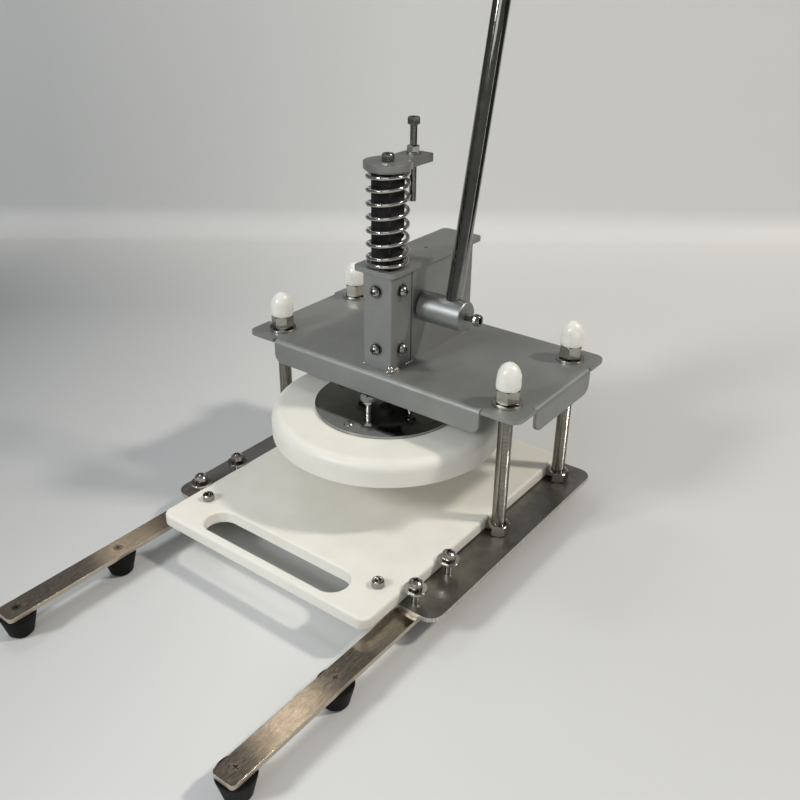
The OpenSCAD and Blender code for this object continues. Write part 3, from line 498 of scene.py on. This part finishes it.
def post_mesh(node):
    low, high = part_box(node)
    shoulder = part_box("post_washers")[0].z - PLATE_T
    middle = (low + high) / 2
    shape = Shape()
    shape.thread((high.x - low.x) / 2, POST_PITCH, low.z, shoulder, POST_THREAD_DEPTH)
    shape.loft([circle(POST_END_R, shoulder, THREAD_STEPS),
                circle(POST_END_R, high.z - POST_END_EDGE, THREAD_STEPS),
                circle(POST_END_R - POST_END_EDGE, high.z, THREAD_STEPS)])
    placed = Shape()
    placed.add(shape, Matrix.Translation((middle.x, middle.y, 0)))
    placed.build(node + "_thread", "post_steel", "base",
                 smooth_angle=25, replaces=[node])


for post in POSTS:
    post_mesh(post)


# Socket cap screws with straight-knurled heads

SCREW_D = 6 * MM                    # also the height of the head
HEAD_D = 10 * MM
SCREW_PITCH = 1 * MM
HEAD_STEPS = 72
HEAD_EDGE = 0.12 * SCREW_D
KNURL_DEPTH = 0.045 * SCREW_D
KEY_WIDTH = 0.83 * SCREW_D
KEY_DEPTH = 0.5 * SCREW_D


def cap_screw(length):
    """A screw about Z with its seat at 0: from the seat round the head into the socket, and the
    threaded shank."""
    steps, r, edge, top = HEAD_STEPS, HEAD_D / 2, HEAD_EDGE, SCREW_D
    shape = Shape()
    shape.loft([circle(SCREW_D / 2, 0, steps),
                circle(r - edge, 0, steps),
                circle(r, edge, steps),
                knurl(r, KNURL_DEPTH, 1.6 * edge, steps),
                knurl(r, KNURL_DEPTH, top - 1.8 * edge, steps),
                circle(r - 0.2 * edge, top - edge, steps),
                circle(r - edge, top, steps),
                circle(0.62 * KEY_WIDTH, top, steps),
                hexagon(KEY_WIDTH, top - 0.35 * edge, steps),
                hexagon(KEY_WIDTH, top - KEY_DEPTH, steps)])
    shape.thread(SCREW_D / 2, SCREW_PITCH, -length, 0)
    return shape


def placed_screws(node, places, length, body, turn=Matrix()):
    """Cap screws with their seats at places, their heads along turn's Z."""
    screw = cap_screw(length)
    shape = Shape()
    for place in places:
        shape.add(screw, Matrix.Translation(place) @ turn)
    shape.build(node + "_knurled", "knurled_steel", body,
                smooth_angle=32, replaces=[node])


def upright_screws(node, body, count=1):
    """One screw in the middle of a node's box, or one at each end of it along X."""
    low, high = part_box(node)
    middle = (low + high) / 2
    seat = high.z - SCREW_D
    across = (middle.x,) if count == 1 else (low.x + HEAD_D / 2, high.x - HEAD_D / 2)
    placed_screws(node, [(x, middle.y, seat) for x in across], seat - low.z, body)


def sideways_screw(node, body):
    """One screw along X, with its head to the right."""
    low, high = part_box(node)
    middle = (low + high) / 2
    seat = high.x - SCREW_D
    turn = Matrix.Rotation(math.radians(90), 4, "Y")
    placed_screws(node, [(seat, middle.y, middle.z)], seat - low.x, body, turn)


upright_screws("ram_cap_screw", "ram")
upright_screws("stop_screw", "stop")
upright_screws("board_locating_screws", "board", 2)
sideways_screw("lever_clamp_screw", "lever")


# Return spring, with dead turns at both ends

WIRE_R = 1.65 * MM
WIRE_STEPS = 14
COIL_R = 16.475 * MM
COIL_TURNS = 8.2
COIL_STEPS = 56                     # rings in a turn
COIL_START = math.radians(66)
COIL_FOOT = 0.1 * MM
LOWER_DEAD_TURNS = 1.1
UPPER_DEAD_TURNS = 0.9
BLEND_TURNS = 0.4
CLOSED_PITCH = 3.6 * MM
OPEN_PITCH = 11.065 * MM


def coil_rise(u):
    """How far the open pitch has set in, u turns after it begins to."""
    if u <= 0:
        return 0
    return u * u / (2 * BLEND_TURNS) if u < BLEND_TURNS else u - BLEND_TURNS / 2


def spring():
    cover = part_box("tower_cover")[1].z
    front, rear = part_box("backing_plate")
    spring_y = (front.y + rear.y) / 2
    rings = []
    count = round(COIL_TURNS * COIL_STEPS)
    for i in range(count + 1):
        t = COIL_TURNS * i / count
        angle = COIL_START + TAU * t
        opened = coil_rise(t - LOWER_DEAD_TURNS) - coil_rise(t - COIL_TURNS + UPPER_DEAD_TURNS)
        z = cover + WIRE_R + COIL_FOOT + CLOSED_PITCH * t + (OPEN_PITCH - CLOSED_PITCH) * opened
        out = Vector(polar(1, angle, 0))
        centre = Vector((0, spring_y, z)) + COIL_R * out
        rings.append(tube_ring(centre, WIRE_R, out, Vector((0, 0, 1)), WIRE_STEPS))
    shape = Shape()
    shape.loft(rings)
    obj = shape.build("return_spring_wire", "bright_steel", "base",
                      smooth_angle=60, replaces=["return_spring"])
    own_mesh(obj)


spring()


# Post caps

CAP_SEED = 4
CAP_STEPS = 48                      # points round a cap
CAP_LEVELS = 26
CAP_CROWDING = 1.5                  # brings the levels closer together towards the top
CAP_DOME, CAP_LIP = 0.62, 0.08      # shares of the height
CAP_FLARE, CAP_TAPER = 0.04, 0.07   # shares of the radius
CAP_LUMPS = 5
CAP_SWELL = 0.17 * MM
CAP_FADE = 4                        # the swell fades over the last 1 / CAP_FADE of the levels


def cap_lump():
    """One unevenness: waves round the cap and their phase, waves up it and their phase."""
    return (random.randint(2, 5), random.uniform(0, TAU),
            random.uniform(0.5, 2.5), random.uniform(0, TAU))


def cap_rings(middle, foot, tall, r_max):
    lumps = [cap_lump() for _ in range(CAP_LUMPS)]
    skirt, dome = (1 - CAP_DOME) * tall, CAP_DOME * tall
    rings = []
    for i in range(CAP_LEVELS + 1):
        u = i / CAP_LEVELS
        z = tall * (1 - (1 - u) ** CAP_CROWDING)
        rise = max(0, z - skirt) / dome
        lip = min(1, z / (CAP_LIP * tall))
        r = r_max * (1 - CAP_FLARE + CAP_FLARE * lip) * (1 - CAP_TAPER * z / tall)
        r *= math.sqrt(max(0, 1 - rise ** 2))
        fade = min(1, CAP_FADE * (1 - u))
        ring = []
        for angle in angles(CAP_STEPS):
            wave = sum(math.sin(k * angle + p) * math.sin(v * math.pi * u + q)
                       for k, p, v, q in lumps)
            uneven = max(min(r + fade * CAP_SWELL * wave, r_max), 0.0)
            ring.append(polar(uneven, angle, foot + z, middle))
        rings.append(ring)
    return rings


def post_caps():
    """Soft bullet caps, each a little uneven as moulded vinyl is."""
    random.seed(CAP_SEED)
    low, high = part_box("post_caps")
    posts = [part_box(post) for post in POSTS]
    r_max = (high.x - low.x - (posts[1][0].x - posts[0][0].x)) / 2
    shape = Shape()
    for post_low, post_high in posts:
        shape.loft(cap_rings((post_low + post_high) / 2, low.z, high.z - low.z, r_max))
    shape.build("post_caps_soft", "cap_plastic", "base",
                smooth_angle=60, replaces=["post_caps"])


post_caps()


# Welds

BEAD_STEPS = 12                     # points round a bead
BEAD_RIPPLE = 1.6 * MM
RIPPLE_STEPS = 6                    # rings in a ripple
RIPPLE_DEPTH = 0.14                 # as a share of the bead's radius
BEAD_WANDER = 0.1                   # the same
WANDER_RATE = 5.1                   # radians in a ring
BEAD_LEAST_RINGS = 8
BEAD_BLUNTNESS = 6                  # power of the taper towards the ends
BEAD_END = 0.05                     # least share of the bead's section at its ends
TACK_R = 1.5 * MM


def weld_bead(start, end, radius):
    """A stacked-coin bead from start to end."""
    start, end = Vector(start), Vector(end)
    along = end - start
    length = along.length
    along.normalize()
    side = along.orthogonal().normalized()
    other = along.cross(side)
    steps = max(BEAD_LEAST_RINGS, round(length / BEAD_RIPPLE * RIPPLE_STEPS))
    rings = []
    for i in range(steps + 1):
        s = length * i / steps
        taper = math.sqrt(max(BEAD_END, 1 - (2 * i / steps - 1) ** BEAD_BLUNTNESS))
        coin = abs(math.sin(math.pi * s / BEAD_RIPPLE))
        r = radius * taper * (1 - RIPPLE_DEPTH + RIPPLE_DEPTH * coin)
        wander = BEAD_WANDER * radius * math.sin(WANDER_RATE * i)
        centre = start + along * s + side * wander
        rings.append(tube_ring(centre, r, side, other, BEAD_STEPS))
    shape = Shape()
    shape.loft(rings)
    return shape


def welds():
    """Beads at the foot of the tower and one at the column's top."""
    low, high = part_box("guide_column")
    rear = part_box("gear_housing")[1].y
    left, right, front, back = low.x, high.x, low.y, high.y

    def run(x, y, start, end, radius=TACK_R, z=low.z):
        """A run along Y from start to end, in millimetres from y."""
        return (x, y + start * MM, z), (x, y + end * MM, z), radius

    corner = (right - 0.6 * MM, front + 0.6 * MM)
    face = front - 0.2 * MM
    runs = [
        run(right, front, 1, 11, 2.3 * MM),
        ((*corner, low.z), (*corner, low.z + 6 * MM), 2.8 * MM),
        ((right + 0.2 * MM, face, low.z), (right - 4 * MM, face, low.z), 1.9 * MM),
        run(right, back, -8, 4),
        run(left, front, 1, 9),
        run(left, back, -8, 4),
        run(right, rear, -16, -4),
        run(left, rear, -16, -4),
        run(right, front, 1, 7, 1.7 * MM, high.z),
    ]
    shape = Shape()
    for start, end, radius in runs:
        shape.add(weld_bead(start, end, radius))
    shape.build("tower_welds", "weld_steel", "base", smooth_angle=50)


welds()


# Broken edges of nuts and washers

EDGE_WIDTH = 0.2 * MM
EDGE_SEGMENTS = 2
EDGE_ANGLE = math.radians(40)
JOIN_GAP = 0.001 * MM


def joined_surface():
    """Node group that joins the imported faces along their edges and drops their normals."""
    group = bpy.data.node_groups.new("joined_surface", "GeometryNodeTree")
    for way in ("INPUT", "OUTPUT"):
        group.interface.new_socket("Geometry", in_out=way, socket_type="NodeSocketGeometry")
    start = group.nodes.new("NodeGroupInput")
    merge = group.nodes.new("GeometryNodeMergeByDistance")
    merge.inputs["Distance"].default_value = JOIN_GAP
    normal = group.nodes.new("GeometryNodeSetMeshNormal")
    normal.mode = "SHARPNESS"
    normal.inputs["Remove Custom"].default_value = True
    end = group.nodes.new("NodeGroupOutput")
    group.links.new(start.outputs[0], merge.inputs["Geometry"])
    group.links.new(merge.outputs[0], normal.inputs["Mesh"])
    group.links.new(normal.outputs[0], end.inputs[0])
    return group


def broken_edges(node, joined):
    """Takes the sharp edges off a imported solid, as tumbling or a file does."""
    obj = NODES[node]
    obj.modifiers.new("joined", "NODES").node_group = joined
    bevel = obj.modifiers.new("edges", "BEVEL")
    bevel.width = EDGE_WIDTH
    bevel.segments = EDGE_SEGMENTS
    bevel.limit_method = "ANGLE"
    bevel.angle_limit = EDGE_ANGLE
    bevel.harden_normals = True


JOINED = joined_surface()
for node_name in ("post_base_nuts", "post_top_nuts", "post_washers",
                  "clamp_washers", "stop_locknut", "stop_washer"):
    broken_edges(node_name, JOINED)


# Camera

CAMERA_AT = Vector((0.4279, -0.4620, 0.4847))
LOOK_AT = Vector((0.00243, 0.0956, 0.1154))
CAMERA_ROLL = math.radians(0.370)
LENS = 40.03
SENSOR = 36.0
SHIFT = (0.0123, -0.0005)
CLIP = (0.01, 50)


def camera():
    data = bpy.data.cameras.new("camera")
    data.lens, data.sensor_width = LENS, SENSOR
    data.shift_x, data.shift_y = SHIFT
    data.clip_start, data.clip_end = CLIP
    obj = add_object("camera", data)
    turn = (LOOK_AT - CAMERA_AT).to_track_quat("-Z", "Y").to_matrix().to_4x4()
    roll = Matrix.Rotation(CAMERA_ROLL, 4, "Z")
    obj.matrix_world = Matrix.Translation(CAMERA_AT) @ turn @ roll
    SCENE.camera = obj


camera()


# Stage: a pale sweep of floor and wall, laid out as the camera looks

AHEAD = LOOK_AT - CAMERA_AT
AHEAD.z = 0
AHEAD.normalize()
ASIDE = Vector((AHEAD.y, -AHEAD.x, 0))
WALL_OFF = 1.56
WALL_TALL = 0.41
SWEEP_R = 0.05
SWEEP_STEPS = 12
FLOOR_REACH = 3.0
PAPER_DARK, PAPER_LIGHT = rgb(214, 215, 214), rgb(218, 219, 218)
# Painted light: lighter paper towards and on the wall, where less lamp light reaches
PAPER_PAINTED_LIGHT = rgb(221, 221, 219)      # towards and on the wall
FAR_FROM = 0.35
# Painted shade towards the left, standing in for light falloff and shadow; SHADE_BACK, SHADE_FROM
# and SHADE_TO place it, SHADE_WALL is the share kept on the wall
PAPER_PAINTED_SHADE = rgb(132, 136, 138)    # towards the left
SHADE_BACK = 0.15
SHADE_FROM, SHADE_TO = 0.12, 0.75
SHADE_WALL = 0.45


def paper():
    """Pale matt paper, with painted shade that darkens it towards the left and painted light that
    lightens it towards and on the wall; it is clear from its back.
    """
    s = Shader("paper")
    grain = s.noise(scale=240, detail=4, rough=0.6)
    cloud = s.noise(scale=1.6, detail=3, rough=0.5)
    start = SHADE_BACK * AHEAD.dot(CAMERA_AT)
    # Painted shade: darker paper towards the left, for light falloff and shadow
    painted_shade = s.ramp(s.along(SHADE_BACK * AHEAD - ASIDE), start + SHADE_FROM, start + SHADE_TO)
    away = s.along(AHEAD)
    wall = AHEAD.dot(CAMERA_AT) + WALL_OFF
    pale = s.mix(s.spread(cloud), PAPER_DARK, PAPER_LIGHT)
    # Painted light: the paper lightens towards and on the wall, and less of the painted shade is
    # kept there
    pale = s.mix(s.ramp(away, wall - FAR_FROM, wall), pale, PAPER_PAINTED_LIGHT)
    kept = s.ramp(away, wall - FAR_FROM, wall, to_low=1.0, to_high=SHADE_WALL)
    s.set(Base_Color=s.mix(s.math("MULTIPLY", painted_shade, kept), pale, PAPER_PAINTED_SHADE))
    s.set(Roughness=s.spread(grain, 0.5, 0.6), Specular_IOR_Level=0.3)
    s.set(Normal=s.bump(grain, 0.05 * MM, strength=0.3))
    clear = s.add("ShaderNodeBsdfTransparent")
    behind = s.add("ShaderNodeNewGeometry").outputs["Backfacing"]
    both = s.add("ShaderNodeMixShader", {0: behind, 1: s.surface.outputs[0], 2: clear.outputs[0]})
    s.feed(s.tree.nodes["Material Output"].inputs["Surface"], both.outputs[0])
    return s.material


def sweep():
    """Floor and wall in one sheet, with a soft bend between them."""
    line = [(-FLOOR_REACH, 0)]
    for i in range(SWEEP_STEPS + 1):
        a = math.pi / 2 * i / SWEEP_STEPS
        line.append((WALL_OFF - SWEEP_R + SWEEP_R * math.sin(a), SWEEP_R - SWEEP_R * math.cos(a)))
    line.append((WALL_OFF, WALL_TALL))
    ground = Vector((CAMERA_AT.x, CAMERA_AT.y, 0))
    points = [ground + AHEAD * off + ASIDE * side + Vector((0, 0, z))
              for off, z in line for side in (-FLOOR_REACH, FLOOR_REACH)]
    faces = [(2 * i, 2 * i + 1, 2 * i + 3, 2 * i + 2) for i in range(len(line) - 1)]
    obj = mesh_object("sweep", points, faces, paper())
    obj.data.shade_smooth()


sweep()


# Dark cards that only reflections show: name, two ends across and ahead, heights, colours

CENTRE = Vector((0, 0.03, 0.10))
BLACK_CARD = (rgb(62, 62, 60), rgb(76, 75, 73))
GREY_CARD = (rgb(104, 104, 101), rgb(120, 119, 116))
CARDS = (
    ("card_left", (-1.25, -1.2), (-1.25, 0.75), (0.15, 1.0), GREY_CARD),
    ("card_right", (1.25, -1.0), (1.25, 0.8), (0.0, 1.0), BLACK_CARD),
    ("card_back", (-1.2, 0.9), (-0.1, 0.9), (0.42, 0.7), BLACK_CARD),
)


def dark_card(name, near, far, heights, colours):
    """A card left, right or behind, which gives polished metal its dark sides."""
    s = Shader(name)
    s.set(Base_Color=s.mix(s.noise(scale=300), *colours), Roughness=0.9)
    low, high = heights
    points = [Vector((CENTRE.x, CENTRE.y, z)) + ASIDE * across + AHEAD * off
              for (across, off), z in ((near, low), (far, low), (far, high), (near, high))]
    obj = mesh_object(name, points, [(0, 1, 2, 3)], s.material)
    obj.visible_camera = obj.visible_diffuse = obj.visible_shadow = False


for card in CARDS:
    dark_card(*card)


# Lamps: name, direction from the press, distance, size, power, colour

COOL = (0.95, 0.98, 1.0)
WARM = (1.0, 0.9, 0.77)
LAMPS = (
    ("front", (0.35, -0.9, 0.75), 2.2, (1.1, 1.1), 6, (0.97, 0.99, 1.0)),
    ("key", (0.78, 0.47, 1.0), 4.0, (0.36, 0.36), 74, (1.0, 0.93, 0.84)),
    ("window", (-0.27, -0.82, 0.56), 2.2, (0.4, 0.4), 23, COOL),
    ("left", (-0.6, 0.05, 1.0), 1.8, (0.4, 0.4), 2.5, COOL),
    ("strip", (0.98, 0.12, 0.15), 1.15, (0.04, 0.5), 0.2, (1.0, 1.0, 1.0)),
    ("glow_right", (-0.86, 0.747, 1.39), 1.8, (0.2, 0.2), 0.5, WARM),
    ("glow_left", (-1.49, 0.757, 1.076), 1.99, (0.2, 0.2), 0.3, WARM),
)


def lamp(name, direction, distance, size, power, colour):
    """An oblong soft lamp that looks at the press from a direction."""
    data = bpy.data.lights.new(name, "AREA")
    data.shape = "RECTANGLE"
    data.size, data.size_y = size
    data.energy = power
    data.color = colour
    way = Vector(direction).normalized()
    turn = way.to_track_quat("Z", "Y").to_matrix().to_4x4()
    add_object(name, data).matrix_world = Matrix.Translation(CENTRE + way * distance) @ turn


for row in LAMPS:
    lamp(*row)


# World: a dim grey that lightens upwards

WORLD_TONES = ((0.25, (0.175, 0.175, 0.175, 1)), (0.55, (0.235, 0.235, 0.24, 1)))


def world():
    made = bpy.data.worlds.new("studio")
    SCENE.world = made
    made.use_nodes = True
    tree = made.node_tree
    back = tree.nodes["Background"]
    place = tree.nodes.new("ShaderNodeTexCoord")
    split = tree.nodes.new("ShaderNodeSeparateXYZ")
    ramp = tree.nodes.new("ShaderNodeValToRGB")
    tree.links.new(place.outputs["Generated"], split.inputs[0])
    tree.links.new(split.outputs["Z"], ramp.inputs["Fac"])
    tree.links.new(ramp.outputs["Color"], back.inputs["Color"])
    for element, (height, tone) in zip(ramp.color_ramp.elements, WORLD_TONES):
        element.position = height
        element.color = tone
    back.inputs["Strength"].default_value = 1.0


world()
SCENE.view_settings.view_transform = "Standard"
